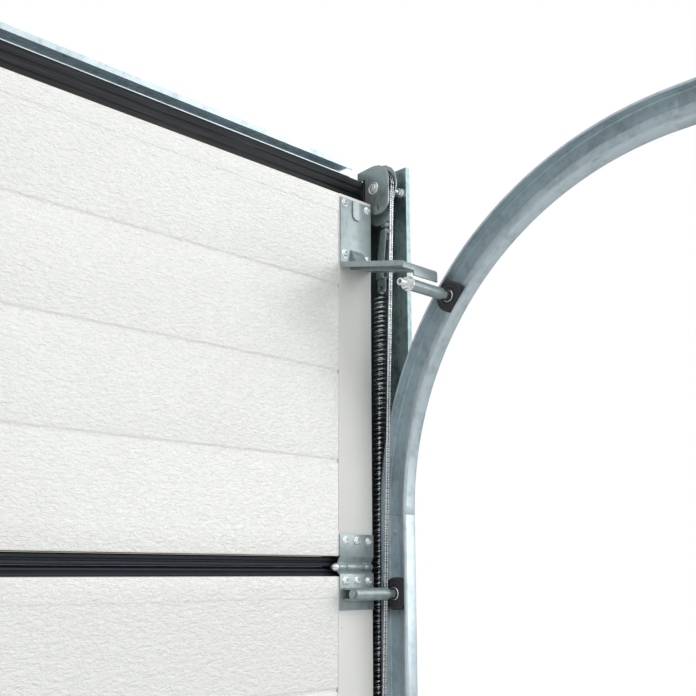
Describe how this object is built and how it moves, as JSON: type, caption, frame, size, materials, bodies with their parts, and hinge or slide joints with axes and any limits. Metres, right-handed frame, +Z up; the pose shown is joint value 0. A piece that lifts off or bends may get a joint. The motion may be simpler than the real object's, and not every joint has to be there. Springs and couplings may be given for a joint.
{
  "type": "sectional garage door with lifting gear",
  "caption": "Sectional overhead garage door in its frame, with curved roller tracks, wire ropes, pulleys and tension springs that balance the leaf.",
  "frame": {"origin": "on the floor in the middle of the opening, on the inner face of the wall", "axes": "+X along the door to the right seen from inside, +Y out through the opening, +Z up"},
  "size_m": [2.588, 2.4095, 2.385],
  "materials": {
    "galvanised_post": "hot-dip galvanised, satin",
    "galvanised_track": "rolled galvanised strip, satin",
    "galvanised_plate": "bright zinc plated, satin",
    "zinc_fastener": "bright zinc plated",
    "fascia_black": "grained anthracite foil, satin",
    "seal_rubber": "matt rubber",
    "spring_steel": "oiled dark spring wire, glossy",
    "wire_rope": "galvanised wire rope",
    "white_embossed": "embossed white coat, semi-gloss",
    "insulation_foam": "rigid foam",
    "end_cap_grey": "smooth light grey coat, satin",
    "joint_anthracite": "anthracite coat, satin",
    "roller_nylon": "black nylon",
    "pulley_black": "black nylon, greased"
  },
  "bodies": {
    "frame": {"jamb_post_right": "galvanised_post", "jamb_post_left": "galvanised_post", "track_vertical_right": "galvanised_track", "track_vertical_left": "galvanised_track", "track_curve_right": "galvanised_track", "track_curve_left": "galvanised_track", "track_ceiling_right": "galvanised_track", "track_ceiling_left": "galvanised_track", "track_splices": "galvanised_plate", "ceiling_hangers": "galvanised_plate", "rear_rail": "galvanised_plate", "fascia_board": "fascia_black", "fascia_rail": "galvanised_plate", "frame_seals": "seal_rubber", "pulley_bracket_right": "galvanised_plate", "pulley_bracket_left": "galvanised_plate", "pulley_axles": "zinc_fastener", "bracket_bolts": "zinc_fastener", "spring_hangers": "galvanised_plate", "floor_brackets": "galvanised_plate", "springs_outer": "spring_steel", "springs_inner": "spring_steel", "door_ropes": "wire_rope", "back_ropes": "wire_rope", "block_ropes": "wire_rope"},
    "leaf": {"section_1_skins": "white_embossed", "section_2_skins": "white_embossed", "section_3_skins": "white_embossed", "lower_cores": "insulation_foam", "lower_end_caps": "end_cap_grey", "lower_joint_rails": "joint_anthracite", "bottom_seal": "seal_rubber", "bottom_brackets": "galvanised_plate", "hinges_1": "galvanised_plate", "hinges_2": "galvanised_plate", "hinges_3_lower_leaves": "galvanised_plate", "hinge_pins": "zinc_fastener", "roller_holders": "galvanised_plate", "roller_stems": "zinc_fastener", "lower_screws": "zinc_fastener"},
    "top_section": {"top_section_skins": "white_embossed", "top_section_core": "insulation_foam", "top_end_caps": "end_cap_grey", "top_joint_rail": "joint_anthracite", "top_support_right": "galvanised_plate", "top_support_left": "galvanised_plate", "top_stems": "zinc_fastener", "stem_nuts": "zinc_fastener", "hinges_3_upper_leaves": "galvanised_plate", "top_screws": "zinc_fastener"},
    "top_roller_right": {"top_roller_right": "roller_nylon"},
    "top_roller_left": {"top_roller_left": "roller_nylon"},
    "rollers_3": {"rollers_3": "roller_nylon"},
    "rollers_2": {"rollers_2": "roller_nylon"},
    "rollers_1": {"rollers_1": "roller_nylon"},
    "rollers_bottom": {"rollers_bottom": "roller_nylon"},
    "top_pulleys": {"top_pulleys": "pulley_black"},
    "floor_pulleys": {"floor_pulleys": "pulley_black"},
    "spring_blocks": {"spring_blocks": "galvanised_plate"},
    "block_pulleys": {"block_pulleys": "pulley_black"}
  },
  "joints": [
    {"name": "leaf_lift", "type": "slide", "parent": "frame", "child": "leaf", "axis": [0, 0, 1], "range_m": [0, 0.09], "deforming": ["door_ropes"]},
    {"name": "top_tilt", "type": "hinge", "parent": "leaf", "child": "top_section", "pos_m": [0, -0.0618, 1.609], "axis": [1, 0, 0], "range_deg": [0, 10.55]},
    {"name": "block_travel", "type": "slide", "parent": "frame", "child": "spring_blocks", "axis": [0, 0, 1], "range_m": [0, 0.045], "deforming": ["springs_outer", "springs_inner", "block_ropes"]},
    {"name": "top_pulley_turn", "type": "hinge", "parent": "frame", "child": "top_pulleys", "pos_m": [0, -0.0656, 2.152], "axis": [1, 0, 0], "range_deg": [-171.89, 0]},
    {"name": "floor_pulley_turn", "type": "hinge", "parent": "frame", "child": "floor_pulleys", "pos_m": [0, -0.027, 0.06], "axis": [1, 0, 0], "range_deg": [-429.72, 0]},
    {"name": "block_pulley_turn", "type": "hinge", "parent": "spring_blocks", "child": "block_pulleys", "pos_m": [0, -0.035, 0.335], "axis": [1, 0, 0], "range_deg": [-214.86, 0]},
    {"name": "top_roller_right_spin", "type": "hinge", "parent": "top_section", "child": "top_roller_right", "pos_m": [0, -0.191, 1.9636], "axis": [1, 0, 0], "continuous": true},
    {"name": "top_roller_left_spin", "type": "hinge", "parent": "top_section", "child": "top_roller_left", "pos_m": [0, -0.191, 1.9636], "axis": [1, 0, 0], "continuous": true},
    {"name": "rollers_3_spin", "type": "hinge", "parent": "leaf", "child": "rollers_3", "pos_m": [0, -0.086, 1.575], "axis": [1, 0, 0], "continuous": true},
    {"name": "rollers_2_spin", "type": "hinge", "parent": "leaf", "child": "rollers_2", "pos_m": [0, -0.086, 1.0425], "axis": [1, 0, 0], "continuous": true},
    {"name": "rollers_1_spin", "type": "hinge", "parent": "leaf", "child": "rollers_1", "pos_m": [0, -0.086, 0.51], "axis": [1, 0, 0], "continuous": true},
    {"name": "rollers_bottom_spin", "type": "hinge", "parent": "leaf", "child": "rollers_bottom", "pos_m": [0, -0.086, 0.07], "axis": [1, 0, 0], "continuous": true}
  ],
  "couplings": [
    {"joint": "top_tilt", "follows": "leaf_lift", "rad_per_m": 2.046},
    {"joint": "block_travel", "follows": "leaf_lift", "ratio": 0.5},
    {"joint": "top_pulley_turn", "follows": "leaf_lift", "rad_per_m": -33.333},
    {"joint": "floor_pulley_turn", "follows": "leaf_lift", "rad_per_m": -83.333},
    {"joint": "block_pulley_turn", "follows": "leaf_lift", "rad_per_m": -41.666}
  ]
}
